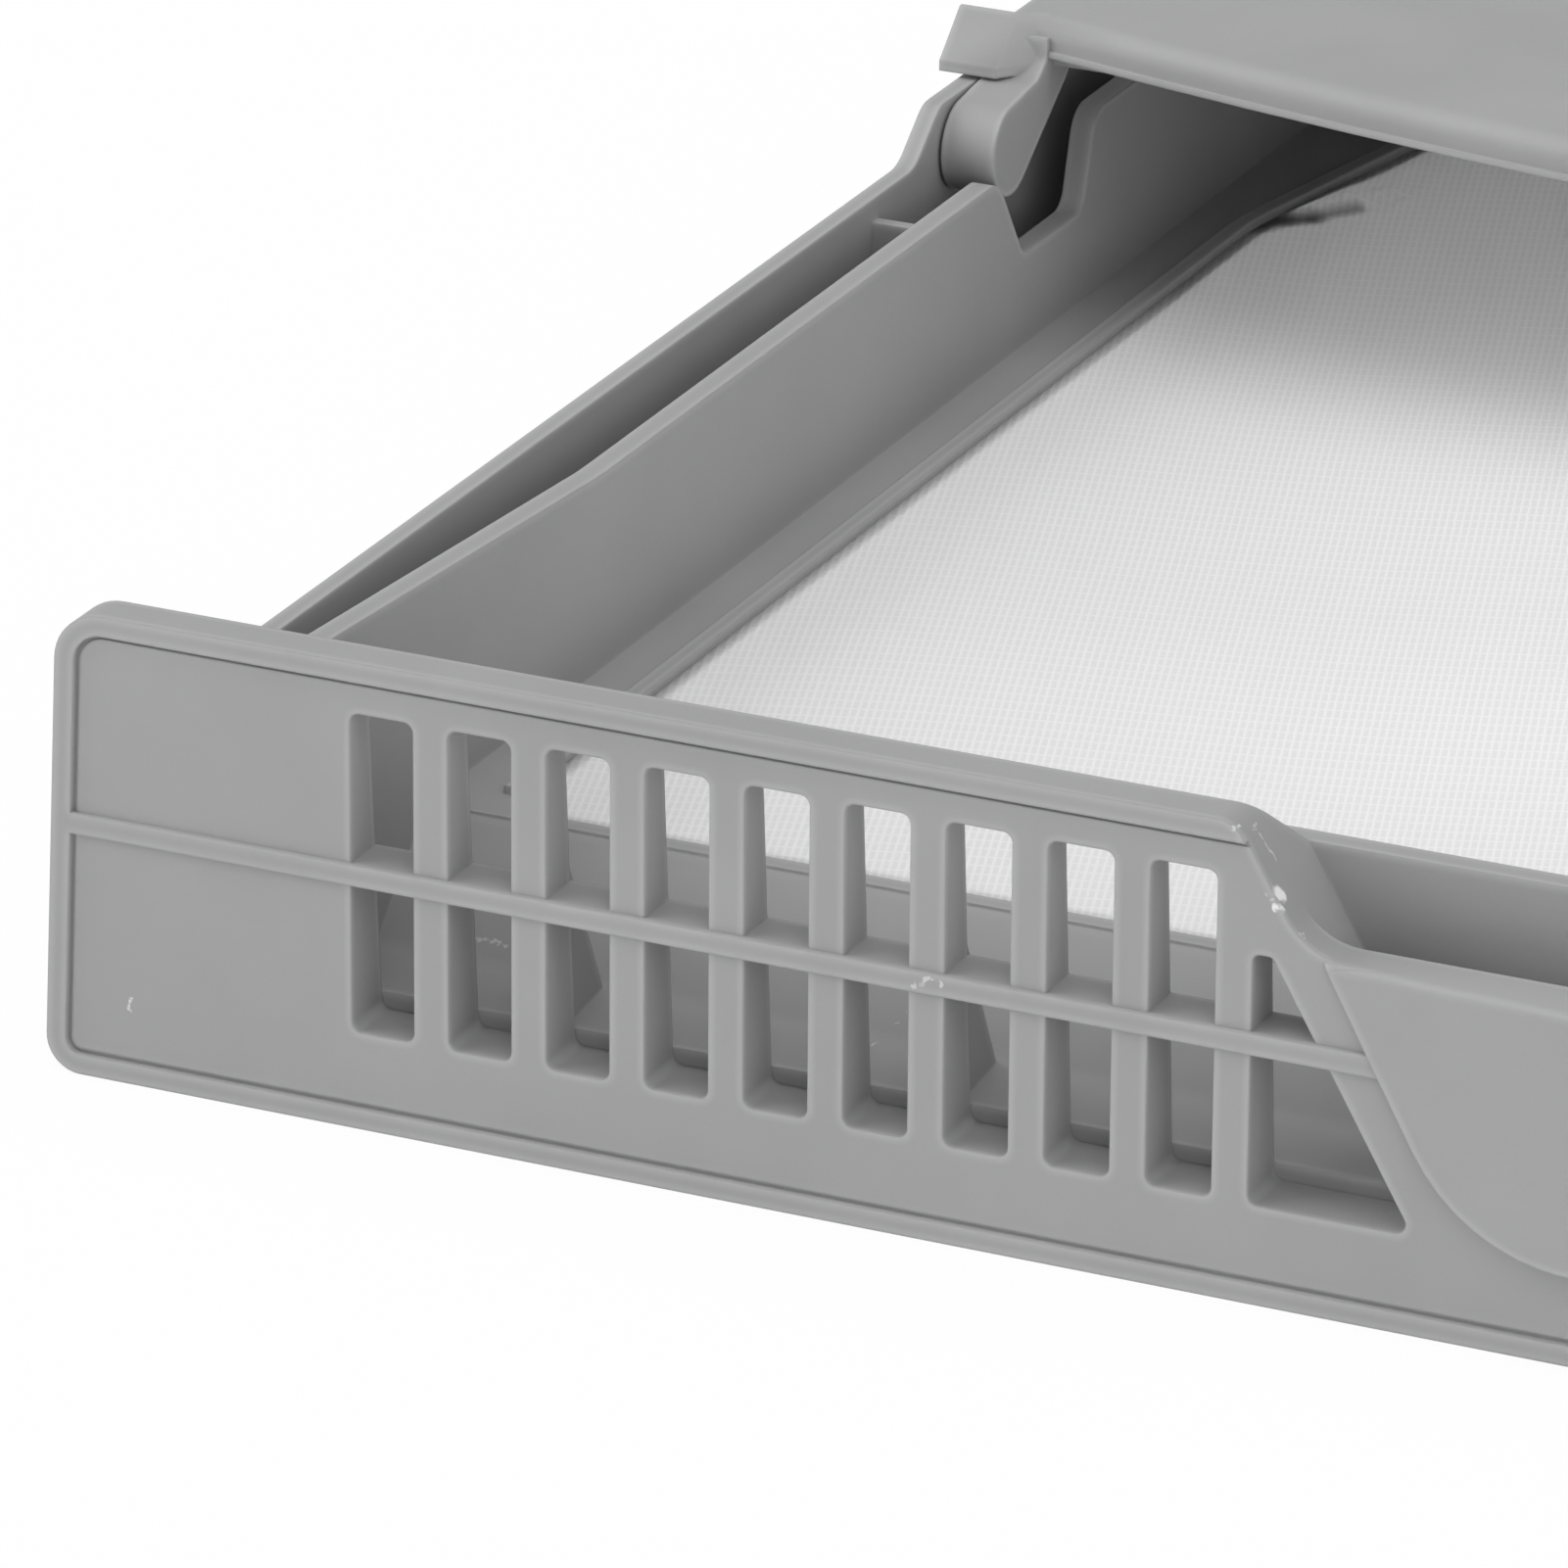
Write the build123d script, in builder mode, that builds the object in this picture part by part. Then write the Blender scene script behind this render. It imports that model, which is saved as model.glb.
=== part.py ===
from build123d import *
import os
from math import asin, cos, degrees, radians, sin, sqrt, tan

# Lint filter drawer of a tumble dryer.
# A moulded tray stands behind a slotted front panel with a finger pocket in its middle.
# A mesh sheet closes the tray's floor, and a cover on two moulded pins closes its rear half.
# Millimetres, +Z up, X across the panel, Y from the panel to the rear.
# The origin is under the middle of the whole drawer, on the plane that it stands on.
# Values named *_depth and *_reach are measured back from the face of the grille bars.

# Front panel
panel_foot_width = 352.0
panel_top_width = 348.4
panel_height = 46.6
panel_thick = 4.0
panel_top_round = 5.0
panel_foot_round = 3.5

# Raised rim round the panel, with a fine groove inside it
rim_width = 2.0
rim_proud = 0.45
groove_width = 0.4
groove_depth = 0.25

# Grille: upright slots either side of the pocket, halved by one level bar
slot_count = 9
slot_pitch = 10.0
slot_width = 6.5
slot_foot = 9.5
slot_top = 41.4
slot_round = 1.0
first_slot_x = 140.75
short_slot_top = 34.0
short_slot_round = 0.8
bar_level = 25.4
bar_height = 2.1
grille_foot_thick = 7.05

# Finger pocket in the middle of the panel
mouth_width = 111.7
mouth_lean = 60.0
mouth_top_round = 3.0
lip_level = 34.6
lip_corner_round = 7.0
lip_edge_round = 0.8
pocket_gap = 6.0
pocket_back_thick = 2.5
pocket_back_top = 41.4
pocket_end_thick = 3.0
pocket_floor = 12.5
pocket_floor_thick = 2.5

# Bowed face of the pocket's front wall
bow = 2.6
bow_edge = 0.35
bow_inset = 1.5
bow_foot = 9.4
bow_corner_round = 18.0

# Tray
tray_depth = 264.5
tray_half = 158.0
outer_wall_thick = 2.0
outer_wall_top = 44.1
channel_width = 4.9
inner_wall_thick = 2.5
inner_wall_front_top = 46.0
inner_wall_top = 42.4
inner_wall_drop_depth = 63.0
inner_wall_foot = 6.5
rear_wall_thick = 2.5
web_depth = 142.0
web_thick = 1.5
web_top = 41.7

# Floor: a sill behind the grille, a ramp, and a level floor round the mesh
floor_level = 22.4
floor_thick = 2.5
sill_level = 11.2
sill_rise = 1.0
sill_lap = 0.15
ramp_foot_depth = 14.0
ramp_top_depth = 25.0
ramp_round = 6.0
gusset_thick = 1.7
gusset_top = 31.4
gusset_slots = (1.5, 5.5)

# Mesh sheet, its seat and the bead beside it
mesh_half = 141.3
mesh_front_depth = 27.0
mesh_rear_gap = 14.5
mesh_taper_run = 42.0
mesh_taper = 7.9
mesh_corner_round = 3.0
mesh_taper_round = 40.0
mesh_rear_round = 12.0
mesh_thick = 0.5
mesh_seat = 1.5
bead_width = 1.75
bead_height = 0.8

# Hinge of the rear cover
pivot_depth = 163.0
pivot_level = 43.8
pin_radius = 2.42
pin_clearance = 0.08
pin_end_gap = 0.1
ear_top = 49.0
ear_rise_depth = 152.5
ear_rise_length = 6.3
ear_foot_round = 5.0
ear_top_round = 4.0
arm_side_gap = 0.4
arm_width = 5.9
barrel_radius = 4.8
arm_root_angle = 35.0
arm_elbow_reach = 14.1
arm_elbow_rise = 4.1
arm_elbow_round = 3.0
arm_top_reach = 8.8
arm_top_run = 7.7
arm_throat_reach = 8.6
arm_throat_rise = 7.2
arm_throat_round = 1.0
arm_brow_reach = 6.5
arm_brow_rise = 5.6
arm_brow_round = 2.0
notch_floor = 32.3
notch_front_reach = 5.8
notch_front_run = 6.6
notch_rear_reach = 19.0
notch_rear_run = 3.0
notch_floor_round = 2.5
notch_edge_round = 3.5

# Rear cover
cover_half = 154.1
cover_top = 55.1
cover_thick = 2.4
cover_corner_round = 6.0
cover_lip_depth = 153.6
cover_lip_bow = 19.8
cover_lip_height = 4.0
cover_lip_thick = 2.6
cover_lip_round = 2.2
lip_flat_turn = 22.5
lip_bead_height = 0.7
lip_bead_proud = 0.35
skirt_thick = 1.8
cover_gap = 0.9
nose_overhang = 6.0
nose_front_reach = 4.6
nose_gap = 0.55
nose_brow = 1.1
nose_slope_run = 5.1
nose_crown_width = 0.5
nose_taper = 4.0
nose_root = 2.2

# Places worked out from the sizes above
front_y = (bow - tray_depth) / 2
back_y = front_y + panel_thick
rear_y = front_y + tray_depth
outer_wall_x = tray_half - outer_wall_thick
inner_wall_x = outer_wall_x - channel_width - inner_wall_thick
pocket_back_y = back_y + pocket_gap
pivot_y = front_y + pivot_depth
arm_outer_x = outer_wall_x - arm_side_gap
arm_inner_x = arm_outer_x - arm_width
cover_under = cover_top - cover_thick
lip_y = front_y + cover_lip_depth
lip_ends_y = lip_y + cover_lip_bow
lip_foot = cover_top - cover_lip_height
lip_radius = (cover_half**2 + cover_lip_bow**2) / (2 * cover_lip_bow)
nose_y = pivot_y + nose_front_reach
nose_foot = ear_top + nose_gap
mesh_rear_y = rear_y - mesh_rear_gap
mesh_taper_y = mesh_rear_y - mesh_taper_run
mesh_rear_half = mesh_half - mesh_taper
overlap = 0.5
beyond = 20.0
sides = (-1, 1)

panel_plane = Plane(origin=(0, front_y, 0), x_dir=(1, 0, 0), z_dir=(0, -1, 0))


def grille_depth(level):
    """Thickness of the grille wall at a level: it grows from the slots' top to the foot."""
    return panel_thick + (grille_foot_thick - panel_thick) * (slot_top - level) / slot_top


def panel_half(level):
    """Half the panel's width at a level between its wider foot and its top."""
    return (panel_foot_width + (panel_top_width - panel_foot_width) * level / panel_height) / 2


def mouth_half(level, grow=0.0):
    """Half the pocket's width at a level, with its slanted ends moved outwards by grow."""
    lean = radians(mouth_lean)
    return mouth_width / 2 - (panel_height - level) / tan(lean) + grow / sin(lean)


def mouth_outline(foot, top, grow=0.0, foot_round=0.0):
    """Trapezoid of the pocket between two levels, as (x, z, corner radius)."""
    return [
        (-mouth_half(top, grow), top, 0),
        (-mouth_half(foot, grow), foot, foot_round),
        (mouth_half(foot, grow), foot, foot_round),
        (mouth_half(top, grow), top, 0),
    ]


def mouth_cut(foot, foot_round=0.0):
    """Opening of the pocket from a level up past the panel's top, whose corners there are rounded."""
    flare = mouth_half(panel_height) + mouth_top_round
    return [
        (-flare, panel_height + overlap, 0),
        (-flare, panel_height, 0),
        (-mouth_half(panel_height), panel_height, mouth_top_round),
        (-mouth_half(foot), foot, foot_round),
        (mouth_half(foot), foot, foot_round),
        (mouth_half(panel_height), panel_height, mouth_top_round),
        (flare, panel_height, 0),
        (flare, panel_height + overlap, 0),
    ]


def draw(corners):
    """Face inside a closed line through (across, up, corner radius) corners."""
    with BuildLine() as line:
        FilletPolyline(*[c[:2] for c in corners], radius=[c[2] for c in corners], close=True)
    make_face(line.edges())


def across(x_low, x_high):
    """Plane and length for a side profile (Y across, Z up) carried from x_low to x_high."""
    return Plane.YZ.offset(x_low), x_high - x_low


# Bowed face of the pocket's front wall, an arc in plan cut to a rounded trapezoid
with BuildPart() as bowed_face:
    bow_half = mouth_half(lip_level, -bow_inset)
    with BuildSketch(Plane.XY.offset(bow_foot)):
        with BuildLine():
            ThreePointArc((-bow_half, front_y - bow_edge), (0, front_y - bow), (bow_half, front_y - bow_edge))
            Polyline(
                (bow_half, front_y - bow_edge),
                (bow_half, front_y + panel_thick / 2),
                (-bow_half, front_y + panel_thick / 2),
                (-bow_half, front_y - bow_edge),
            )
        make_face()
    extrude(amount=lip_level - bow_foot)
    with BuildSketch(panel_plane):
        draw(mouth_outline(bow_foot, lip_level, -bow_inset, bow_corner_round))
    extrude(amount=beyond, both=True, mode=Mode.INTERSECT)
    fillet(bowed_face.edges().filter_by(GeomType.CIRCLE).sort_by(Axis.Z)[-1], lip_edge_round)

# Body of the finger pocket before it is hollowed; its top falls from the panel to the back wall
with BuildPart() as pocket_body:
    pocket_rear_y = pocket_back_y + pocket_back_thick
    with BuildSketch(panel_plane.offset(-panel_thick + overlap)):
        draw(mouth_outline(pocket_floor - pocket_floor_thick, panel_height, pocket_end_thick))
    extrude(amount=-(overlap + pocket_gap + pocket_back_thick))
    plane, length = across(-panel_top_width / 2, panel_top_width / 2)
    with BuildSketch(plane):
        draw([
            (back_y, panel_height, 0),
            (pocket_back_y, pocket_back_top, 0),
            (pocket_rear_y + overlap, pocket_back_top, 0),
            (pocket_rear_y + overlap, panel_height + overlap, 0),
            (back_y, panel_height + overlap, 0),
        ])
    extrude(amount=length, mode=Mode.SUBTRACT)

# The whole moulding: panel, grille, pocket, tray walls and floor
with BuildPart() as filter_frame:
    # Front panel with its rim and groove
    with BuildSketch(panel_plane) as panel_outline:
        draw([
            (-panel_half(0), 0, panel_foot_round),
            (panel_half(0), 0, panel_foot_round),
            (panel_half(panel_height), panel_height, panel_top_round),
            (-panel_half(panel_height), panel_height, panel_top_round),
        ])
    extrude(amount=-panel_thick)
    with BuildSketch(panel_plane):
        add(panel_outline.sketch_local)
        offset(panel_outline.sketch_local, amount=-rim_width, mode=Mode.SUBTRACT)
    extrude(amount=rim_proud)
    with BuildSketch(panel_plane):
        offset(panel_outline.sketch_local, amount=-rim_width, mode=Mode.ADD)
        offset(panel_outline.sketch_local, amount=-rim_width - groove_width, mode=Mode.SUBTRACT)
    extrude(amount=-groove_depth, mode=Mode.SUBTRACT)

    # Grille wall, thicker towards its foot
    plane, length = across(-inner_wall_x - overlap, inner_wall_x + overlap)
    with BuildSketch(plane):
        draw([
            (back_y - overlap, 0, 0),
            (front_y + grille_foot_thick, 0, 0),
            (back_y, slot_top, 0),
            (back_y - overlap, slot_top, 0),
        ])
    extrude(amount=length)

    # Slots, each halved by the level bar, and a short slanted one beside the pocket
    slot_places = [(side * (first_slot_x - slot_pitch * i), (slot_foot + slot_top) / 2)
                   for side in sides for i in range(slot_count)]
    short_slot_x = first_slot_x - slot_pitch * slot_count + slot_width / 2
    with BuildSketch(panel_plane):
        with Locations(*slot_places):
            RectangleRounded(slot_width, slot_top - slot_foot, slot_round)
        for side in sides:
            draw([
                (side * short_slot_x, slot_foot, slot_round),
                (side * short_slot_x, short_slot_top, short_slot_round),
                (side * mouth_half(short_slot_top, pocket_end_thick), short_slot_top, short_slot_round),
                (side * mouth_half(slot_foot, pocket_end_thick), slot_foot, slot_round),
            ])
        with Locations((0, bar_level)):
            Rectangle(panel_foot_width, bar_height, mode=Mode.SUBTRACT)
    extrude(amount=-grille_foot_thick - overlap, mode=Mode.SUBTRACT)

    # Sill, ramp and level floor, with a root that ties the sill to the grille wall
    plane, length = across(-inner_wall_x - overlap, inner_wall_x + overlap)
    sill_y = front_y + grille_depth(slot_foot) - sill_lap
    with BuildSketch(plane):
        with BuildLine() as floor_line:
            FilletPolyline(
                (sill_y, sill_level),
                (front_y + ramp_foot_depth, sill_level + sill_rise),
                (front_y + ramp_top_depth, floor_level),
                (front_y + ramp_top_depth + ramp_round, floor_level),
                radius=ramp_round / 2,
            )
            offset(floor_line.line, amount=floor_thick, side=Side.RIGHT)
        make_face()
        draw([
            (back_y, slot_foot - overlap, 0),
            (back_y, slot_foot - floor_thick - overlap, 0),
            (sill_y + floor_thick, slot_foot - floor_thick - overlap, 0),
            (sill_y + floor_thick, sill_level - overlap, 0),
            (sill_y + overlap, sill_level - overlap, 0),
            (sill_y + overlap, slot_foot - overlap, 0),
        ])
    extrude(amount=length)
    with BuildSketch(Plane.XY.offset(floor_level - floor_thick)):
        draw([
            (-tray_half + overlap, front_y + ramp_top_depth, 0),
            (tray_half - overlap, front_y + ramp_top_depth, 0),
            (tray_half - overlap, rear_y - overlap, 0),
            (-tray_half + overlap, rear_y - overlap, 0),
        ])
    extrude(amount=floor_thick)

    for side in sides:
        # Gussets behind every fourth bar
        for place in gusset_slots:
            gusset_x = side * (first_slot_x - slot_pitch * place)
            plane, length = across(gusset_x - gusset_thick / 2, gusset_x + gusset_thick / 2)
            with BuildSketch(plane):
                draw([
                    (back_y, gusset_top, 0),
                    (back_y, sill_level - overlap, 0),
                    (front_y + ramp_foot_depth, sill_level + sill_rise - overlap, 0),
                    (front_y + ramp_foot_depth, sill_level + sill_rise, 0),
                    (front_y + grille_depth(gusset_top), gusset_top, 0),
                ])
            extrude(amount=length)

        # Inner wall: falls from the panel, runs level and is notched for the hinge arm
        inner_face = sorted((side * inner_wall_x, side * (inner_wall_x + inner_wall_thick)))
        plane, length = across(*inner_face)
        with BuildSketch(plane):
            draw([
                (back_y - overlap, inner_wall_foot, 0),
                (front_y + ramp_foot_depth, inner_wall_foot, 0),
                (front_y + ramp_top_depth + ramp_round, floor_level - floor_thick, 0),
                (rear_y - overlap, floor_level - floor_thick, 0),
                (rear_y - overlap, inner_wall_top, 0),
                (pivot_y + notch_rear_reach, inner_wall_top, notch_edge_round),
                (pivot_y + notch_rear_reach - notch_rear_run, notch_floor, notch_floor_round),
                (pivot_y - notch_front_reach + notch_front_run, notch_floor, notch_floor_round),
                (pivot_y - notch_front_reach, inner_wall_top, notch_edge_round),
                (front_y + inner_wall_drop_depth, inner_wall_top, inner_wall_drop_depth),
                (back_y - overlap, inner_wall_front_top, 0),
            ])
        extrude(amount=length)

        # Outer wall: steps up to the ear that carries the cover's pin
        outer_face = sorted((side * outer_wall_x, side * tray_half))
        plane, length = across(*outer_face)
        with BuildSketch(plane):
            draw([
                (back_y - overlap, 0, 0),
                (rear_y, 0, 0),
                (rear_y, ear_top, 0),
                (front_y + ear_rise_depth + ear_rise_length, ear_top, ear_top_round),
                (front_y + ear_rise_depth, outer_wall_top, ear_foot_round),
                (back_y - overlap, outer_wall_top, 0),
            ])
            with Locations((pivot_y, pivot_level)):
                Circle(pin_radius + pin_clearance, mode=Mode.SUBTRACT)
        extrude(amount=length)

        # Floor of the channel between the two walls beside the ramp, and the web across it
        channel = sorted((side * (inner_wall_x + inner_wall_thick / 2), side * (outer_wall_x + overlap)))
        plane, length = across(*channel)
        with BuildSketch(plane):
            draw([
                (back_y - overlap, floor_level - floor_thick, 0),
                (front_y + ramp_top_depth + overlap, floor_level - floor_thick, 0),
                (front_y + ramp_top_depth + overlap, floor_level, 0),
                (back_y - overlap, floor_level, 0),
            ])
            draw([
                (front_y + web_depth, floor_level - overlap, 0),
                (front_y + web_depth + web_thick, floor_level - overlap, 0),
                (front_y + web_depth + web_thick, web_top, 0),
                (front_y + web_depth, web_top, 0),
            ])
        extrude(amount=length)

    # Rear wall
    plane, length = across(-tray_half, tray_half)
    with BuildSketch(plane):
        draw([
            (rear_y - rear_wall_thick, 0, 0),
            (rear_y, 0, 0),
            (rear_y, ear_top, 0),
            (rear_y - rear_wall_thick, ear_top, 0),
        ])
    extrude(amount=length)

    # Opening in the floor, the seat of the mesh and the bead along its sides and rear
    with BuildSketch(Plane.XY.offset(floor_level)) as mesh_outline:
        draw([
            (-mesh_half, front_y + mesh_front_depth, mesh_corner_round),
            (mesh_half, front_y + mesh_front_depth, mesh_corner_round),
            (mesh_half, mesh_taper_y, mesh_taper_round),
            (mesh_rear_half, mesh_rear_y, mesh_rear_round),
            (-mesh_rear_half, mesh_rear_y, mesh_rear_round),
            (-mesh_half, mesh_taper_y, mesh_taper_round),
        ])
    extrude(amount=-mesh_thick, mode=Mode.SUBTRACT)
    with BuildSketch(Plane.XY.offset(floor_level)):
        offset(mesh_outline.sketch_local, amount=-mesh_seat, mode=Mode.ADD)
    extrude(amount=-floor_thick - beyond, mode=Mode.SUBTRACT)
    with BuildSketch(Plane.XY.offset(floor_level - mesh_thick)):
        offset(mesh_outline.sketch_local, amount=bead_width, mode=Mode.ADD)
        add(mesh_outline.sketch_local, mode=Mode.SUBTRACT)
        with Locations((0, front_y + mesh_front_depth)):
            Rectangle(panel_foot_width, 2 * bead_width + mesh_corner_round, mode=Mode.SUBTRACT)
    extrude(amount=mesh_thick + bead_height)

    # Finger pocket: its body joins the panel, then the mouth and the hollow are cut
    add(pocket_body.part)
    with BuildSketch(panel_plane.offset(beyond)):
        draw(mouth_cut(lip_level, lip_corner_round))
    extrude(amount=-beyond - panel_thick, mode=Mode.SUBTRACT)
    with BuildSketch(panel_plane.offset(-panel_thick)):
        draw(mouth_cut(pocket_floor))
    extrude(amount=-pocket_gap, mode=Mode.SUBTRACT)
    add(bowed_face.part)

    # Face of the level bar, flush with the rim, from the panel's end to the bowed face
    bar_low = bar_level - bar_height / 2
    bar_high = bar_level + bar_height / 2
    with BuildSketch(panel_plane.offset(-overlap)):
        for side in sides:
            draw([
                (side * panel_half(bar_low), bar_low, 0),
                (side * panel_half(bar_high), bar_high, 0),
                (side * mouth_half(bar_high, -bow_inset), bar_high, 0),
                (side * mouth_half(bar_low, -bow_inset), bar_low, 0),
            ])
    extrude(amount=overlap + rim_proud)

# Mesh sheet that lies in the floor's seat
with BuildPart() as floor_mesh:
    with BuildSketch(Plane.XY.offset(floor_level)):
        add(mesh_outline.sketch_local)
    extrude(amount=-mesh_thick)

# Nose at the right end of the cover's lip: it tapers out of the lip and slopes down over the ear
with BuildPart() as nose:
    nose_rear_y = nose_y + nose_slope_run + nose_crown_width
    lip_at_arm_y = lip_y + lip_radius - sqrt(lip_radius**2 - arm_inner_x**2)
    for level, setback in ((nose_foot, 0), (nose_foot + nose_brow, 0), (cover_top, nose_slope_run)):
        root_y = lip_at_arm_y + nose_root * setback / nose_slope_run + overlap
        with BuildSketch(Plane.XY.offset(level)):
            draw([
                (arm_inner_x, root_y, 0),
                (arm_inner_x + nose_taper, nose_y + setback, 0),
                (cover_half + nose_overhang, nose_y + setback, 0),
                (cover_half + nose_overhang, nose_rear_y, 0),
                (cover_half, nose_rear_y, 0),
                (cover_half, lip_ends_y + nose_slope_run, 0),
                (arm_inner_x, lip_ends_y + nose_slope_run, 0),
            ])
    loft(ruled=True)

# Rear cover: a plate with a bowed front lip, a skirt underneath and two hinge arms
with BuildPart() as rear_cover:
    # Lip: its section, turned over on top in short flats and beaded along its foot, is turned about
    # the bow's centre
    flats = [radians(lip_flat_turn * i) for i in range(round(90 / lip_flat_turn) + 1)]
    with BuildSketch(Plane.YZ):
        draw([
            (lip_y - lip_bead_proud, lip_foot, 0),
            (lip_y - lip_bead_proud, lip_foot + lip_bead_height, 0),
            (lip_y, lip_foot + lip_bead_height, 0),
            *[(lip_y + cover_lip_round * (1 - cos(a)), cover_top - cover_lip_round * (1 - sin(a)), 0)
              for a in flats],
            (lip_y + cover_lip_round + overlap, cover_top, 0),
            (lip_y + cover_lip_round + overlap, cover_under, 0),
            (lip_y + cover_lip_thick, cover_under, 0),
            (lip_y + cover_lip_thick, lip_foot, 0),
        ])
    bow_axis = Axis((0, lip_y + lip_radius, 0), (0, 0, 1))
    revolve(axis=bow_axis, revolution_arc=degrees(asin(cover_half / lip_radius)))
    mirror(about=Plane.YZ)

    # Plate behind the lip
    with BuildSketch(Plane.XY.offset(cover_under)):
        with BuildLine():
            plate_y = lip_y + cover_lip_round + overlap / 2
            plate_ends_y = plate_y + cover_lip_bow
            ThreePointArc((-cover_half, plate_ends_y), (0, plate_y), (cover_half, plate_ends_y))
            FilletPolyline(
                (cover_half, plate_ends_y),
                (cover_half, rear_y),
                (-cover_half, rear_y),
                (-cover_half, plate_ends_y),
                radius=cover_corner_round,
            )
        make_face()
    extrude(amount=cover_thick)

    # Skirt round the underside, clear of the walls below it
    skirt_foot = ear_top + cover_gap
    skirt_run = rear_y - lip_ends_y
    with BuildSketch(Plane.XY.offset(skirt_foot)):
        with Locations((0, (rear_y + lip_ends_y) / 2)):
            Rectangle(2 * cover_half, skirt_run)
            Rectangle(2 * (cover_half - skirt_thick), skirt_run - 2 * skirt_thick, mode=Mode.SUBTRACT)
    extrude(amount=cover_under - skirt_foot)

    for side in sides:
        # Hinge arm: a barrel round the pivot and a web that rises to the lip
        arm_faces = sorted((side * arm_inner_x, side * arm_outer_x))
        plane, length = across(*arm_faces)
        with BuildSketch(plane):
            with Locations((pivot_y, pivot_level)):
                Circle(barrel_radius)
            root = radians(arm_root_angle)
            draw([
                (pivot_y, pivot_level + barrel_radius, 0),
                (pivot_y + barrel_radius * sin(root), pivot_level - barrel_radius * cos(root), 0),
                (pivot_y + arm_elbow_reach, pivot_level + arm_elbow_rise, arm_elbow_round),
                (pivot_y + arm_top_reach + arm_top_run, cover_under + overlap, 0),
                (pivot_y + arm_top_reach, cover_under + overlap, 0),
                (pivot_y + arm_throat_reach, pivot_level + arm_throat_rise, arm_throat_round),
                (pivot_y + arm_brow_reach, pivot_level + arm_brow_rise, arm_brow_round),
            ])
        extrude(amount=length)

        # Pin that turns in the ear's bore
        pin_faces = sorted((side * (arm_outer_x - overlap), side * (tray_half - pin_end_gap)))
        plane, length = across(*pin_faces)
        with BuildSketch(plane):
            with Locations((pivot_y, pivot_level)):
                Circle(pin_radius)
        extrude(amount=length)

    # Noses over the ears
    add(nose.part)
    add(mirror(nose.part, about=Plane.YZ, mode=Mode.PRIVATE))

os.makedirs("parts", exist_ok=True)
filter_frame.part.label = "filter_frame"
floor_mesh.part.label = "floor_mesh"
rear_cover.part.label = "rear_cover"
export_step(filter_frame.part, "parts/filter_frame.step")
export_step(floor_mesh.part, "parts/floor_mesh.step")
export_step(rear_cover.part, "parts/rear_cover.step")
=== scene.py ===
"""Finish of a tumble dryer's lint filter drawer: moulded grey plastic, a woven screen and a plain studio."""

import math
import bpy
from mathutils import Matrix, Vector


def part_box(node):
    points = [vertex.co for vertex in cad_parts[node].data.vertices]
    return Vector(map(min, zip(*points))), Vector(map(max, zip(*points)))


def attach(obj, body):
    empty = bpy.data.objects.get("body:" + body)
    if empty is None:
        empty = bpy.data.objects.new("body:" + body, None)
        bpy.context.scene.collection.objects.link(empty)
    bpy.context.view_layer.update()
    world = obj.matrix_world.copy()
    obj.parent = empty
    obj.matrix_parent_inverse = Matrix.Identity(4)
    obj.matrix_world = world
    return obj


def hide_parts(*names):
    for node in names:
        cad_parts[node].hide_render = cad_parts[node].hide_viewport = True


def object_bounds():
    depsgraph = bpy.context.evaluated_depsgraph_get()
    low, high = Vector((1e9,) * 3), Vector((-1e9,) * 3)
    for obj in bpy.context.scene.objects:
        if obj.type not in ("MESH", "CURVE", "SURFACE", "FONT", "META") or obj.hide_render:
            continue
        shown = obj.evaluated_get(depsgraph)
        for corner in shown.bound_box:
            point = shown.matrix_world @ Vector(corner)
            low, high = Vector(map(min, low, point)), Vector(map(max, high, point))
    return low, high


bl_info = {
    "name": "Lint filter drawer",
    "version": (1, 0, 0),
    "blender": (4, 5, 0),
    "location": "3D View > Sidebar > Lint Filter",
    "description": "Dresses a lint filter drawer with moulded plastic, a woven screen and a plain studio",
    "category": "Object",
}

import bmesh
import bpy
import numpy as np
from bpy.props import FloatProperty, FloatVectorProperty, PointerProperty
from mathutils import Matrix, Vector

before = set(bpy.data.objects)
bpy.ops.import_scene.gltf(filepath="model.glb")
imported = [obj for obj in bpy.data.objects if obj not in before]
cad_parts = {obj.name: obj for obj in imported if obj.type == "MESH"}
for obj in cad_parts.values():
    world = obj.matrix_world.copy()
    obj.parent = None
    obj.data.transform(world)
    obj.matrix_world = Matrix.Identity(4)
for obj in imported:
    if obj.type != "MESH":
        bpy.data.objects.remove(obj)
CAD_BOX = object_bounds()
MM = 0.001

# Refractive index that ABS and nylon share
POLYMER_IOR = 1.53

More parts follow.
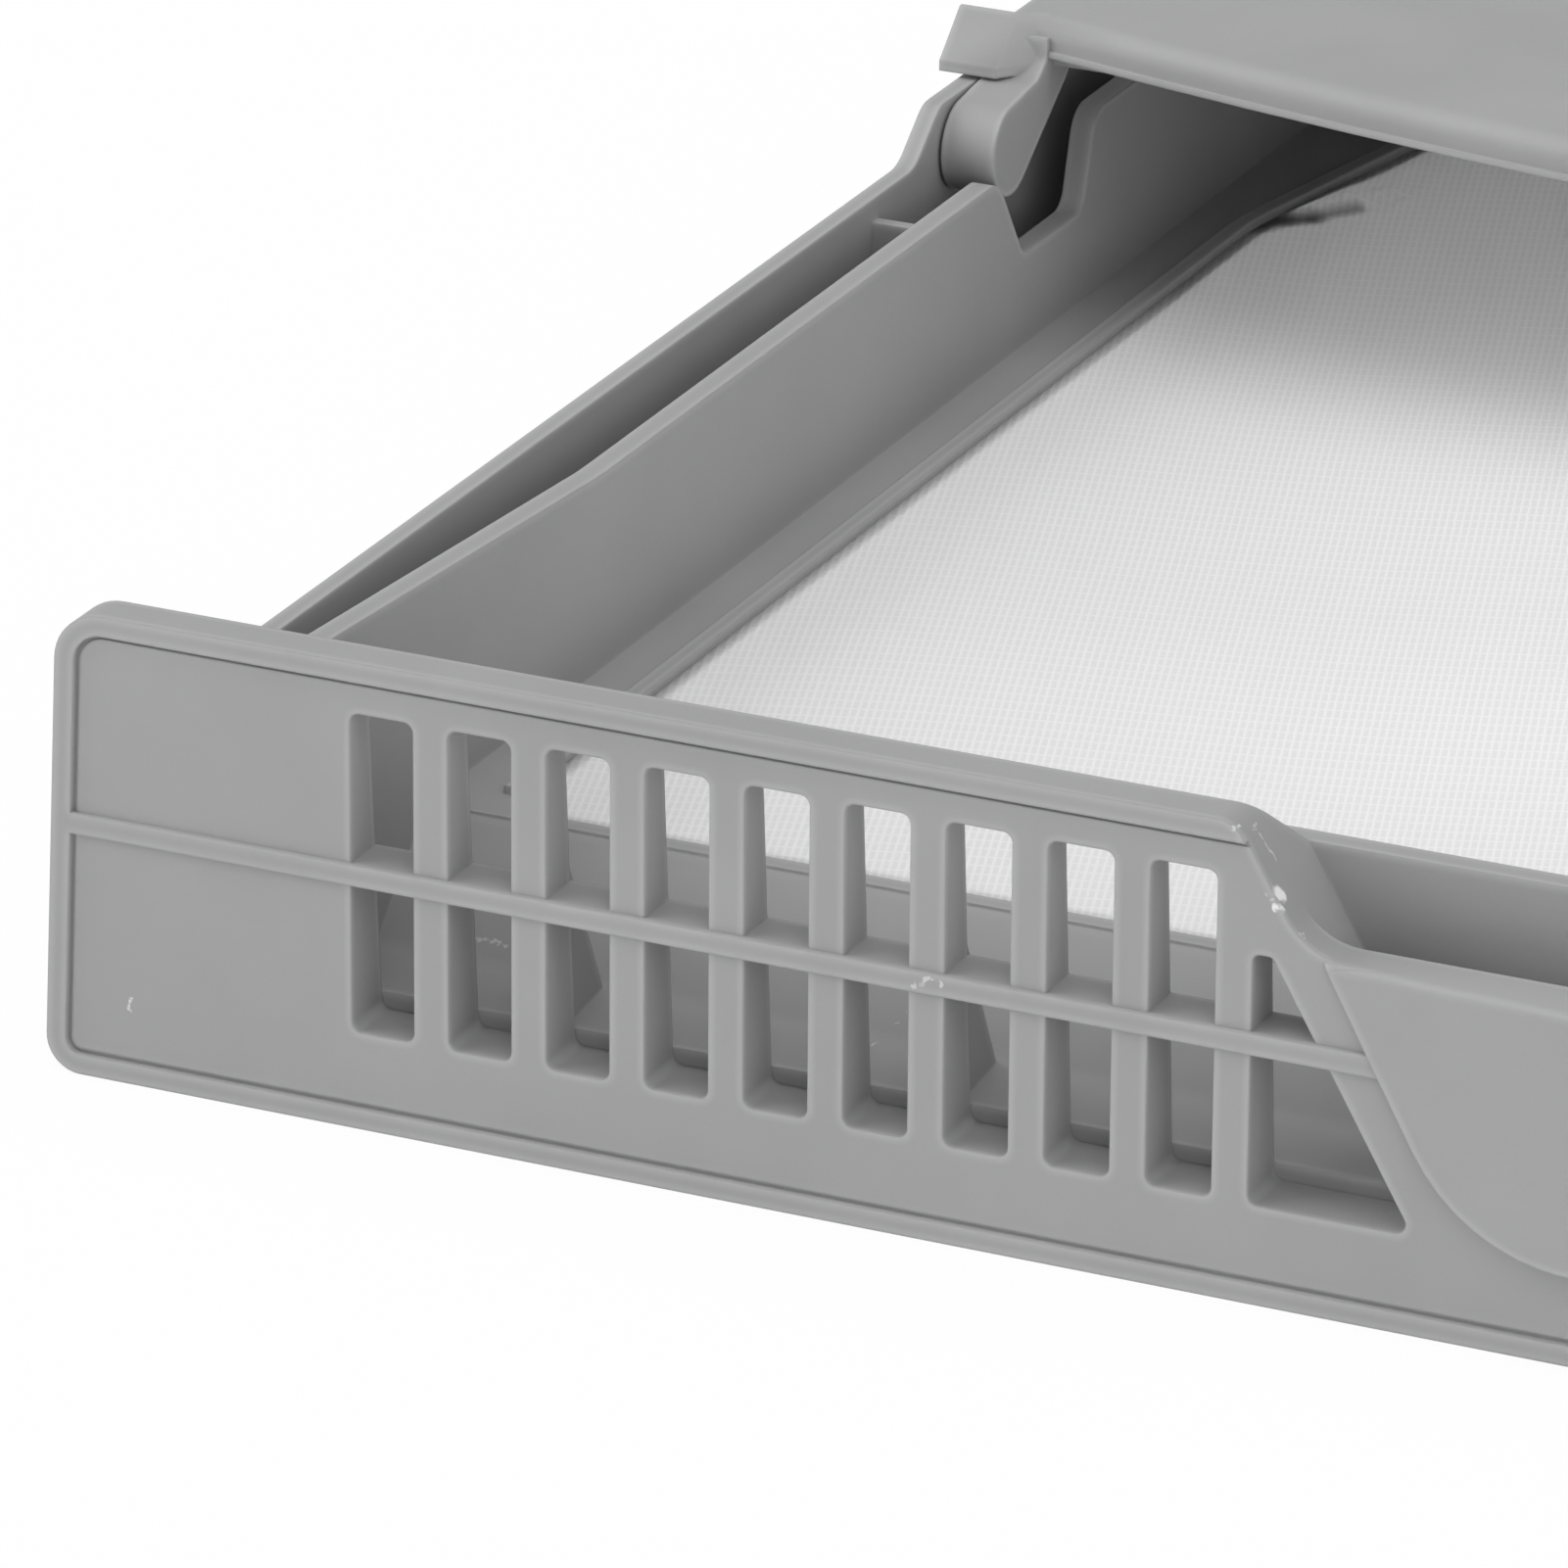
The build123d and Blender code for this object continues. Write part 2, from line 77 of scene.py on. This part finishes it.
# Scrapes as start, end, radius in millimetres and strength
SCUFFS = (
    # White patch in two parts on the edge of the finger pocket, and scratches round it
    ((-52.1, -130.3, 40.0), (-51.7, -129.6, 39.7), 0.85, 0.9),
    ((-52.0, -130.9, 38.9), (-51.3, -130.7, 38.7), 0.4, 0.8),
    ((-56.1, -131.3, 45.9), (-55.6, -130.6, 45.9), 0.3, 0.6),
    ((-55.0, -129.1, 45.1), (-55.1, -128.0, 45.2), 0.25, 0.4),
    ((-54.7, -128.4, 44.6), (-53.3, -127.8, 42.2), 0.25, 0.4),
    ((-49.6, -130.4, 36.4), (-49.5, -130.2, 36.4), 0.3, 0.6),
    # Flecks on the level bar and on the panel's lower left
    ((-86.8, -131.4, 24.9), (-85.3, -131.4, 26.0), 0.3, 0.4),
    ((-84.2, -131.4, 25.6), (-84.1, -131.4, 25.7), 0.3, 0.5),
    ((-167.2, -130.9, 8.3), (-167.2, -130.9, 7.5), 0.3, 0.6),
    # Arcs that ejector pins left on the ramp
    ((-138.8, -115.1, 13.9), (-135.5, -115.3, 13.8), 0.25, 0.35),
    ((-96.9, -118.2, 12.0), (-94.9, -114.6, 14.6), 0.25, 0.35),
)

# Line of the crease in the screen's far left corner, in millimetres
CREASE = ((-141.3, 77.2), (-139.3, 80.6), (-136.7, 82.5), (-133.3, 87.3))

# Reach in millimetres and strength of the shade along each stretch of the crease
CREASE_SHADE = ((2.2, 0.85), (2.0, 0.75), (1.2, 0.45))


def linear(hex_colour):
    """Linear RGB of an sRGB hex value such as #a0a0a0."""
    channels = np.array([int(hex_colour[i:i + 2], 16) for i in (1, 3, 5)]) / 255
    values = np.where(channels <= 0.04045, channels / 12.92, ((channels + 0.055) / 1.055) ** 2.4)
    return tuple(values.tolist())


class LintPlastic(bpy.types.PropertyGroup):
    """Moulded plastic of the drawer and its cover."""

    grey: FloatVectorProperty(
        name="Grey", description="Colour of the plastic", subtype="COLOR", default=linear("#9e9e9f"))
    # Pale is the colour of the painted highlight on the outer edges
    pale: FloatVectorProperty(
        name="Painted edge highlight", description="Colour of the painted highlight on outer edges", subtype="COLOR",
        default=linear("#d6d6d6"))
    scuff: FloatVectorProperty(
        name="Scuff", description="Colour of scraped plastic", subtype="COLOR", default=linear("#f6f6f6"))
    edge: FloatProperty(
        name="Edge radius", description="Rounding of the moulded edges", unit="LENGTH", default=0.45 * MM)
    grain: FloatProperty(
        name="Grain", description="Size of the spark-eroded grain", unit="LENGTH", default=0.35 * MM)


class LintScreen(bpy.types.PropertyGroup):
    """Woven screen in the drawer's floor."""

    white: FloatVectorProperty(
        name="White", description="Colour of the threads", subtype="COLOR", default=linear("#f4f4f4"))
    warp: FloatProperty(
        name="Warp", description="Spacing of the close threads", unit="LENGTH", default=0.79 * MM)
    weft: FloatProperty(
        name="Weft", description="Spacing of the wide threads", unit="LENGTH", default=2.03 * MM)
    bias: FloatProperty(
        name="Bias", description="Turn of the weave from the drawer's width", subtype="ANGLE",
        default=math.radians(17))
    thread: FloatProperty(
        name="Thread", description="Diameter of a thread", unit="LENGTH", default=0.3 * MM)
    gap: FloatProperty(
        name="Gap", description="Share of a gap between threads that fine filaments close", subtype="FACTOR",
        default=0.96)
    wave: FloatProperty(
        name="Wave", description="Height of the sheet's slack waves", unit="LENGTH", default=0.35 * MM)
    fold: FloatProperty(
        name="Fold", description="Height of the swell behind the crease in the far left corner",
        unit="LENGTH", default=1.4 * MM)


class LintStage(bpy.types.PropertyGroup):
    """Camera and light."""

    eye: FloatVectorProperty(
        name="Eye", description="Place of the camera", subtype="TRANSLATION", unit="LENGTH",
        default=(0.3257, -1.05665, 0.459))
    azimuth: FloatProperty(
        name="Azimuth", description="Turn of the camera from the front", subtype="ANGLE",
        default=math.radians(24.70))
    elevation: FloatProperty(
        name="Elevation", description="Height of the camera above the horizon", subtype="ANGLE",
        default=math.radians(22.25))
    roll: FloatProperty(
        name="Roll", description="Turn of the camera about its view", subtype="ANGLE",
        default=math.radians(0.43))
    lens: FloatProperty(
        name="Lens", description="Focal length in millimetres on a 36 mm sensor", default=279.9)
    key: FloatProperty(
        name="Key light", description="Strength of the soft light from the left", default=1.75)
    top: FloatProperty(
        name="Top light", description="Strength of the soft light from above", default=0.95)
    fill: FloatProperty(
        name="Fill light", description="Strength of the soft light from the right", default=0.68)
    sky: FloatProperty(
        name="Sky", description="Strength of the light from all round", default=0.4)
    table: FloatProperty(
        name="Light table", description="Brightness of the paper under the screen, where 1 is white",
        default=1.65)


def node(tree, kind, inputs=None, **settings):
    """Adds a node, sets its properties, and gives its inputs values or links from other sockets."""
    made = tree.nodes.new(kind)
    for name, value in settings.items():
        setattr(made, name, value)
    for key, value in (inputs or {}).items():
        socket = made.inputs[key]
        if isinstance(value, bpy.types.NodeSocket):
            tree.links.new(value, socket)
        else:
            socket.default_value = value
    return made


def blank_material(name):
    """A material with an empty node tree."""
    material = bpy.data.materials.new(name)
    material.use_nodes = True
    material.node_tree.nodes.clear()
    return material, material.node_tree


def rgba(colour):
    """A colour property with full alpha."""
    return (*colour, 1.0)


def shade(colour, share):
    """A colour made darker or lighter by a share, with full alpha."""
    return (*[channel * share for channel in colour], 1.0)


def streak(tree, place, start, end, radius, core):
    """A socket that is 1 near the line from start to end and 0 past a radius from it.

    The fall from 1 to 0 starts at a core share of the radius.
    """
    start, end = Vector(start) * MM, Vector(end) * MM
    way = end - start
    away = node(tree, "ShaderNodeVectorMath", {0: place, 1: start}, operation="SUBTRACT").outputs[0]
    along = node(tree, "ShaderNodeVectorMath", {
        0: away, 1: way / way.length_squared}, operation="DOT_PRODUCT").outputs["Value"]
    share = node(tree, "ShaderNodeClamp", {"Value": along}).outputs[0]
    nearest = node(tree, "ShaderNodeVectorMath", {0: way, "Scale": share}, operation="SCALE").outputs[0]
    off = node(tree, "ShaderNodeVectorMath", {0: away, 1: nearest}, operation="DISTANCE").outputs["Value"]
    reach = radius * MM
    return node(tree, "ShaderNodeMapRange", {
        "Value": off, "From Min": core * reach, "From Max": reach, "To Min": 1.0, "To Max": 0.0}).outputs[0]


def grey_plastic(settings):
    """Grey ABS, injection moulded in a spark-eroded tool.

    The tool leaves a fine even grain that breaks up highlights, so the surface is satin: broad soft
    reflections, hardly any sparkle, and a faint cloudiness where the melt cooled unevenly.
    """
    material, tree = blank_material("moulded_grey_abs")
    place = node(tree, "ShaderNodeTexCoord").outputs["Object"]
    # The grain is drawn at about 0.35 mm, a little coarser than it is, so that it shows in a render
    grain = node(tree, "ShaderNodeTexNoise", {
        "Vector": place, "Scale": 1 / settings.grain, "Detail": 2.0, "Roughness": 0.6})
    cloud_size = 24 * MM
    cloud = node(tree, "ShaderNodeTexNoise", {
        "Vector": place, "Scale": 1 / cloud_size, "Detail": 3.0, "Roughness": 0.5})
    tone = node(tree, "ShaderNodeMath", {
        0: grain.outputs["Fac"], 1: 0.35, 2: cloud.outputs["Fac"]}, operation="MULTIPLY_ADD")
    colour = node(tree, "ShaderNodeValToRGB", {"Fac": tone.outputs[0]})
    colour.color_ramp.elements[0].position = 0.35
    colour.color_ramp.elements[0].color = shade(settings.grey, 0.93)
    colour.color_ramp.elements[1].position = 1.0
    colour.color_ramp.elements[1].color = shade(settings.grey, 1.06)
    satin = node(tree, "ShaderNodeMapRange", {
        "Value": grain.outputs["Fac"], "From Min": 0.3, "From Max": 0.7, "To Min": 0.46, "To Max": 0.62})
    edges = node(tree, "ShaderNodeBevel", {"Radius": settings.edge}, samples=4)
    bump = node(tree, "ShaderNodeBump", {
        "Height": grain.outputs["Fac"], "Strength": 0.25, "Distance": 0.03 * MM,
        "Normal": edges.outputs["Normal"]})
    # Outer edges get a painted highlight, a paler colour where rounded edges catch the light: from just
    # inside one, the other side of the edge is close by
    depth = node(tree, "ShaderNodeAmbientOcclusion", {"Distance": 2 * settings.edge}, samples=2, inside=True)
    edge_highlight_share = node(tree, "ShaderNodeMapRange", {
        "Value": depth.outputs["AO"], "From Min": 0.95, "From Max": 0.5, "To Min": 0.0, "To Max": 0.3})
    edge_highlighted = node(tree, "ShaderNodeMix", {
        0: edge_highlight_share.outputs["Result"], 6: colour.outputs["Color"], 7: rgba(settings.pale)}, data_type="RGBA")
    # Scrapes turn the plastic white, in ragged shreds
    shred_size, shred_throw = 0.8 * MM, 1.4 * MM
    shreds = node(tree, "ShaderNodeTexNoise", {"Vector": place, "Scale": 1 / shred_size, "Detail": 3.0})
    ragged = node(tree, "ShaderNodeVectorMath", {
        0: shreds.outputs["Color"], 1: (shred_throw,) * 3, 2: place}, operation="MULTIPLY_ADD").outputs[0]
    centred = node(tree, "ShaderNodeVectorMath", {
        0: ragged, 1: (shred_throw / 2,) * 3}, operation="SUBTRACT").outputs[0]
    scraped = 0.0
    for start, end, radius, strength in SCUFFS:
        mark = streak(tree, centred, start, end, radius, 0.5)
        faded = node(tree, "ShaderNodeMath", {0: mark, 1: strength}, operation="MULTIPLY").outputs[0]
        scraped = node(tree, "ShaderNodeMath", {0: faded, 1: scraped}, operation="MAXIMUM").outputs[0]
    marked = node(tree, "ShaderNodeMix", {
        0: scraped, 6: edge_highlighted.outputs[2], 7: rgba(settings.scuff)}, data_type="RGBA")
    surface = node(tree, "ShaderNodeBsdfPrincipled", {
        "Base Color": marked.outputs[2], "Roughness": satin.outputs["Result"], "IOR": POLYMER_IOR,
        "Normal": bump.outputs["Normal"]})
    node(tree, "ShaderNodeOutputMaterial", {"Surface": surface.outputs[0]})
    return material


def screen_weave(settings):
    """White nylon in a plain weave of close warp threads and wider weft threads.

    Each thread is a smooth glossy round, so it carries a thin glint where it rises over another. The
    crossings alternate like a chessboard, so the glints line up along diagonals. Fine filaments span
    the gaps, so these look pale and let through only a part of what lies below.
    """
    material, tree = blank_material("woven_white_nylon")
    place = node(tree, "ShaderNodeTexCoord").outputs["Object"]
    # Steps count threads along the two directions of the weave
    steps = node(tree, "ShaderNodeMapping", {
        "Vector": place, "Rotation": (0, 0, settings.bias), "Scale": (settings.warp, settings.weft, 1)},
        vector_type="TEXTURE")
    axes = node(tree, "ShaderNodeSeparateXYZ", {0: steps.outputs[0]})
    rounds, swings, covers = [], [], []
    for axis, pitch in (("X", settings.warp), ("Y", settings.weft)):
        # Distance to the nearest thread line, in pitches, and the round that it makes in the thread
        off = node(tree, "ShaderNodeMath", {0: axes.outputs[axis], 1: 0.5}, operation="PINGPONG").outputs[0]
        share = node(tree, "ShaderNodeMath", {
            0: off, 1: settings.thread / pitch / 2}, operation="DIVIDE").outputs[0]
        square = node(tree, "ShaderNodeMath", {0: share, 1: share}, operation="MULTIPLY").outputs[0]
        rest = node(tree, "ShaderNodeMath", {
            0: 1.0, 1: square}, operation="SUBTRACT", use_clamp=True).outputs[0]
        rounds.append(node(tree, "ShaderNodeMath", {0: rest}, operation="SQRT").outputs[0])
        covers.append(node(tree, "ShaderNodeMapRange", {
            "Value": share, "From Min": 0.7, "From Max": 1.4, "To Min": 1.0, "To Max": 0.0}).outputs[0])
        turn = node(tree, "ShaderNodeMath", {
            0: axes.outputs[axis], 1: math.pi}, operation="MULTIPLY").outputs[0]
        swings.append(node(tree, "ShaderNodeMath", {0: turn}, operation="COSINE").outputs[0])
    over = node(tree, "ShaderNodeMath", {0: swings[0], 1: swings[1]}, operation="MULTIPLY").outputs[0]
    sway = 0.7
    warp = node(tree, "ShaderNodeMath", {
        0: over, 1: sway, 2: rounds[0]}, operation="MULTIPLY_ADD").outputs[0]
    weft = node(tree, "ShaderNodeMath", {
        0: over, 1: -sway, 2: rounds[1]}, operation="MULTIPLY_ADD").outputs[0]
    height = node(tree, "ShaderNodeMath", {0: warp, 1: weft}, operation="MAXIMUM").outputs[0]
    cover = node(tree, "ShaderNodeMath", {0: covers[0], 1: covers[1]}, operation="MAXIMUM").outputs[0]
    bump = node(tree, "ShaderNodeBump", {"Height": height, "Strength": 0.2, "Distance": settings.thread / 2})
    # Gaps between threads get a painted shade, a little darker than the threads, for the shadowed space seen
    # through them
    white = node(tree, "ShaderNodeMix", {
        0: cover, 6: shade(settings.white, 0.93), 7: rgba(settings.white)}, data_type="RGBA")
    # The shade in the crease is drawn, because the light through the sheet would wash it out
    flat = node(tree, "ShaderNodeVectorMath", {0: place, 1: (1, 1, 0)}, operation="MULTIPLY").outputs[0]
    for start, end, (radius, strength) in zip(CREASE, CREASE[1:], CREASE_SHADE):
        line = streak(tree, flat, (*start, 0), (*end, 0), radius, 0.0)
        dark = node(tree, "ShaderNodeMath", {0: line, 1: strength}, operation="MULTIPLY").outputs[0]
        white = node(tree, "ShaderNodeMix", {
            0: dark, 6: white.outputs[2], 7: shade(settings.white, 0.12)}, data_type="RGBA")
    closed = node(tree, "ShaderNodeMapRange", {"Value": cover, "To Min": settings.gap, "To Max": 1.0})
    thread = node(tree, "ShaderNodeBsdfPrincipled", {
        "Base Color": white.outputs[2], "Roughness": 0.32, "IOR": POLYMER_IOR,
        "Normal": bump.outputs["Normal"], "Alpha": closed.outputs["Result"]})
    # Nylon lets a part of the light from below shine through
    through = node(tree, "ShaderNodeBsdfTranslucent", {"Color": white.outputs[2]})
    through_share = 0.35
    nylon = node(tree, "ShaderNodeMixShader", {
        0: through_share, 1: thread.outputs[0], 2: through.outputs[0]})
    node(tree, "ShaderNodeOutputMaterial", {"Surface": nylon.outputs[0]})
    return material


def pale_floor():
    """Matt white paper: white to the eye of the camera, with a faint share of the object's shadow."""
    material, tree = blank_material("matt_white_paper")
    path = node(tree, "ShaderNodeLightPath").outputs
    seen = node(tree, "ShaderNodeMath", {
        0: path["Is Camera Ray"], 1: path["Is Glossy Ray"]}, operation="MAXIMUM").outputs[0]
    seen = node(tree, "ShaderNodeMath", {
        0: seen, 1: path["Is Transmission Ray"]}, operation="MAXIMUM").outputs[0]
    # The share of white is less under the drawer, where the paper lies in its shade
    under, outside = 0.75, 0.94
    low, high = CAD_BOX
    half = Vector(((high[0] - low[0]) / 2, (high[1] - low[1]) / 2, 1.0))
    middle = Vector(((high[0] + low[0]) / 2, (high[1] + low[1]) / 2, 0.0))
    steps = node(tree, "ShaderNodeMapping", {
        "Vector": node(tree, "ShaderNodeTexCoord").outputs["Object"], "Location": middle, "Scale": half},
        vector_type="TEXTURE")
    size = node(tree, "ShaderNodeVectorMath", {0: steps.outputs[0]}, operation="ABSOLUTE")
    axes = node(tree, "ShaderNodeSeparateXYZ", {0: size.outputs[0]})
    reach = node(tree, "ShaderNodeMath", {0: axes.outputs["X"], 1: axes.outputs["Y"]}, operation="MAXIMUM")
    white = node(tree, "ShaderNodeMapRange", {
        "Value": reach.outputs[0], "From Min": 0.9, "From Max": 1.0, "To Min": under, "To Max": outside})
    glow_share = node(tree, "ShaderNodeMath", {
        0: seen, 1: white.outputs["Result"]}, operation="MULTIPLY").outputs[0]
    paper = node(tree, "ShaderNodeBsdfDiffuse", {"Color": rgba(linear("#f4f4f4"))})
    glow = node(tree, "ShaderNodeEmission", {"Color": (1, 1, 1, 1), "Strength": 1.0})
    mix = node(tree, "ShaderNodeMixShader", {0: glow_share, 1: paper.outputs[0], 2: glow.outputs[0]})
    node(tree, "ShaderNodeOutputMaterial", {"Surface": mix.outputs[0]})
    return material


def add_piece(name, mesh, material):
    """Puts a mesh in the scene as a piece at the origin, with one material."""
    piece = bpy.data.objects.new(name, mesh)
    bpy.context.scene.collection.objects.link(piece)
    mesh.materials.clear()
    mesh.materials.append(material)
    return piece


def plastic_material():
    """The one plastic that the frame and the cover share."""
    return bpy.data.materials.get("moulded_grey_abs") or grey_plastic(bpy.context.scene.lint_plastic)


def moulded_copy(cad_node, name, body, sharp_turn):
    """A CAD node's mesh with its loose triangles merged, so that curves shade as one smooth surface.

    Edges that turn by more than sharp_turn stay edges. The piece stands for the node and rides on its body.
    """
    shape = bmesh.new()
    shape.from_mesh(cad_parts[cad_node].data)
    bmesh.ops.remove_doubles(shape, verts=shape.verts, dist=0.002 * MM)
    mesh = bpy.data.meshes.new(name)
    shape.to_mesh(mesh)
    shape.free()
    if "custom_normal" in mesh.attributes:
        mesh.attributes.remove(mesh.attributes["custom_normal"])
    mesh.polygons.foreach_set("use_smooth", np.ones(len(mesh.polygons), bool))
    mesh.set_sharp_from_angle(angle=sharp_turn)
    piece = add_piece(name, mesh, plastic_material())
    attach(piece, body)
    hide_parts(cad_node)


class LINT_OT_frame(bpy.types.Operator):
    """Dress the one-piece moulding of panel and tray"""

    bl_idname = "lint_filter.frame"
    bl_label = "Filter frame"

    def execute(self, context):
        moulded_copy("filter_frame", "moulded_frame", "frame", math.radians(28))
        return {"FINISHED"}


class LINT_OT_cover(bpy.types.Operator):
    """Dress the hinged cover over the rear of the tray"""

    bl_idname = "lint_filter.cover"
    bl_label = "Rear cover"

    def execute(self, context):
        moulded_copy("rear_cover", "moulded_cover", "cover", math.radians(48))
        return {"FINISHED"}


def screen_half(depth, half, length):
    """Half the screen's width at a depth from its front edge: a taper near the rear and rounded corners."""
    taper, taper_run, front_round, rear_round = 7.9 * MM, 42.0 * MM, 3.0 * MM, 12.0 * MM
    tapered = half - taper * np.clip((depth - length + taper_run) / taper_run, 0, 1)
    front = np.clip(front_round - depth, 0, front_round)
    rear = np.clip(rear_round - (length - depth), 0, rear_round)
    return (tapered - front_round + np.sqrt(front_round ** 2 - front ** 2)
            - rear_round + np.sqrt(rear_round ** 2 - rear ** 2))


def fold_rise(x, y):
    """Rise of the crease in the screen's far left corner, from 0 to 1.

    It is exp(-(d / w)^2), where d is the distance to a line 3 mm behind the crease, and w is 1.4 mm on the
    near side of that line and 5 mm on the far side, so that a steep step rises to a soft swell.
    """
    line = (np.array(CREASE) + (0, 3.0)) * MM
    spot = np.stack([x, y], axis=-1)[..., None, :]
    start, way = line[:-1], np.diff(line, axis=0)
    share = np.clip(((spot - start) * way).sum(axis=-1) / (way ** 2).sum(axis=-1), 0, 1)
    gap = spot - start - share[..., None] * way
    off = np.sqrt((gap ** 2).sum(axis=-1)).min(axis=-1)
    across = line[-1] - line[0]
    far_side = across[0] * (y - line[0, 1]) - across[1] * (x - line[0, 0]) > 0
    return np.exp(-(off / np.where(far_side, 5.0 * MM, 1.4 * MM)) ** 2)


def grid_faces(rows, columns):
    """Quads of a grid of rows by columns of points, counted row by row."""
    corner = (np.arange(rows - 1)[:, None] * columns + np.arange(columns - 1)).reshape(-1, 1)
    return corner + np.array([0, 1, columns + 1, columns])


def grid_mesh(name, points):
    """A smooth mesh on a grid of points, an array of rows by columns by 3."""
    rows, columns = points.shape[:2]
    mesh = bpy.data.meshes.new(name)
    mesh.from_pydata(points.reshape(-1, 3), [], grid_faces(rows, columns).tolist())
    mesh.polygons.foreach_set("use_smooth", np.ones(len(mesh.polygons), bool))
    mesh.update()
    return mesh


class LINT_OT_screen(bpy.types.Operator):
    """Weave the screen in the tray's floor"""

    bl_idname = "lint_filter.screen"
    bl_label = "Floor screen"

    def execute(self, context):
        settings = context.scene.lint_screen
        low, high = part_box("floor_mesh")
        length, half = high.y - low.y, (high.x - low.x) / 2
        rows, columns = 181, 227
        depth = np.linspace(0, length, rows)[:, None]
        across = np.linspace(-1, 1, columns)[None, :]
        width = screen_half(depth, half, length)
        x = across * width
        y = low.y + depth + 0 * across
        # Slack: two crossing waves that die away at the held edges
        slack_band, crease_band = 12 * MM, 3 * MM
        inset = (1 - np.abs(across)) * half
        held = np.clip(inset / slack_band, 0, 1) * np.clip(
            np.minimum(depth, length - depth) / slack_band, 0, 1)
        waves = np.sin(x / (13 * MM) + y / (31 * MM)) + 0.7 * np.sin(x / (29 * MM) - y / (11 * MM) + 1.0)
        pinned = np.clip(inset / crease_band, 0, 1)
        z = high.z - settings.thread + settings.wave * held * waves + settings.fold * pinned * fold_rise(x, y)
        mesh = grid_mesh("woven_screen", np.stack([x, y, z], axis=-1))
        material = screen_weave(settings)
        piece = add_piece("woven_screen", mesh, material)
        body = piece.modifiers.new("Thread thickness", "SOLIDIFY")
        body.thickness = 0.04 * MM
        body.offset = 0
        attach(piece, "frame")
        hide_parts("floor_mesh")
        return {"FINISHED"}


class LINT_OT_stage(bpy.types.Operator):
    """Set the floor, the light and the camera"""

    bl_idname = "lint_filter.stage"
    bl_label = "Studio"

    def execute(self, context):
        scene = context.scene
        settings = scene.lint_stage
        scene.view_settings.view_transform = "Standard"
        reach, drop = 6.0, 0.05 * MM
        line = np.linspace(-reach, reach, 3)
        x, y = np.meshgrid(line, line)
        paper = grid_mesh("floor", np.stack([x, y, 0 * x - drop], axis=-1))
        floor = add_piece("floor", paper, pale_floor())

        world = bpy.data.worlds.new("Studio")
        scene.world = world
        world.use_nodes = True
        tree = world.node_tree
        tree.nodes.clear()
        path = node(tree, "ShaderNodeLightPath").outputs
        strength = node(tree, "ShaderNodeMapRange", {
            "Value": path["Is Camera Ray"], "To Min": settings.sky, "To Max": 1.0})
        sky = node(tree, "ShaderNodeBackground", {
            "Color": (1, 1, 1, 1), "Strength": strength.outputs["Result"]})
        node(tree, "ShaderNodeOutputWorld", {"Surface": sky.outputs[0]})

        softness = math.radians(60)
        suns = {
            "Key": (settings.key, (-0.9, -0.25, 0.5)), "Top": (settings.top, (0.2, -0.1, 0.97)),
            "Fill": (settings.fill, (0.69, -0.58, 0.42)),
        }
        for name, (strength, towards) in suns.items():
            lamp = bpy.data.objects.new(name, bpy.data.lights.new(name, "SUN"))
            lamp.data.energy = strength
            lamp.data.angle = softness
            lamp.rotation_euler = Vector(towards).to_track_quat("Z", "Y").to_euler()
            scene.collection.objects.link(lamp)

        # The white paper under the screen shines up through it, as on a light table
        low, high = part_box("floor_mesh")
        table = bpy.data.objects.new("Light_table", bpy.data.lights.new("Light_table", "AREA"))
        table.data.shape = "RECTANGLE"
        table.data.size, table.data.size_y = high.x - low.x, high.y - low.y
        table.data.energy = settings.table * math.pi * table.data.size * table.data.size_y
        lift = 1 * MM
        table.location = ((low.x + high.x) / 2, (low.y + high.y) / 2, lift)
        table.rotation_euler = (math.pi, 0, 0)
        table.visible_camera = table.visible_glossy = table.visible_transmission = False
        scene.collection.objects.link(table)

        a, e, roll = settings.azimuth, settings.elevation, settings.roll
        back = Vector((math.sin(a) * math.cos(e), -math.cos(a) * math.cos(e), math.sin(e)))
        level = Vector((math.cos(a), math.sin(a), 0.0))
        rise = back.cross(level)
        right = level * math.cos(roll) + rise * math.sin(roll)
        up = rise * math.cos(roll) - level * math.sin(roll)
        camera = bpy.data.objects.new("Camera", bpy.data.cameras.new("Camera"))
        camera.data.lens = settings.lens
        camera.data.sensor_width = 36.0
        camera.data.clip_start = 0.05
        turn = Matrix((right, up, back)).transposed().to_4x4()
        camera.matrix_world = Matrix.Translation(Vector(settings.eye)) @ turn
        scene.collection.objects.link(camera)
        scene.camera = camera
        return {"FINISHED"}


class LINT_PT_panel(bpy.types.Panel):
    """Lists the drawer's settings and pieces."""

    bl_label = "Lint filter drawer"
    bl_idname = "LINT_PT_panel"
    bl_space_type = "VIEW_3D"
    bl_region_type = "UI"
    bl_category = "Lint Filter"

    def draw(self, context):
        for group in (context.scene.lint_plastic, context.scene.lint_screen, context.scene.lint_stage):
            for name in group.__annotations__:
                self.layout.prop(group, name)
        for operator in OPERATORS:
            self.layout.operator(operator.bl_idname)


GROUPS = {"lint_plastic": LintPlastic, "lint_screen": LintScreen, "lint_stage": LintStage}
OPERATORS = (LINT_OT_frame, LINT_OT_cover, LINT_OT_screen, LINT_OT_stage)


def register():
    for name, group in GROUPS.items():
        bpy.utils.register_class(group)
        setattr(bpy.types.Scene, name, PointerProperty(type=group))
    for kind in (*OPERATORS, LINT_PT_panel):
        bpy.utils.register_class(kind)


def unregister():
    for kind in reversed((*OPERATORS, LINT_PT_panel)):
        bpy.utils.unregister_class(kind)
    for name, group in reversed(GROUPS.items()):
        delattr(bpy.types.Scene, name)
        bpy.utils.unregister_class(group)


def main():
    register()
    bpy.ops.lint_filter.frame()
    bpy.ops.lint_filter.cover()
    bpy.ops.lint_filter.screen()
    bpy.ops.lint_filter.stage()


if __name__ == "__main__":
    main()
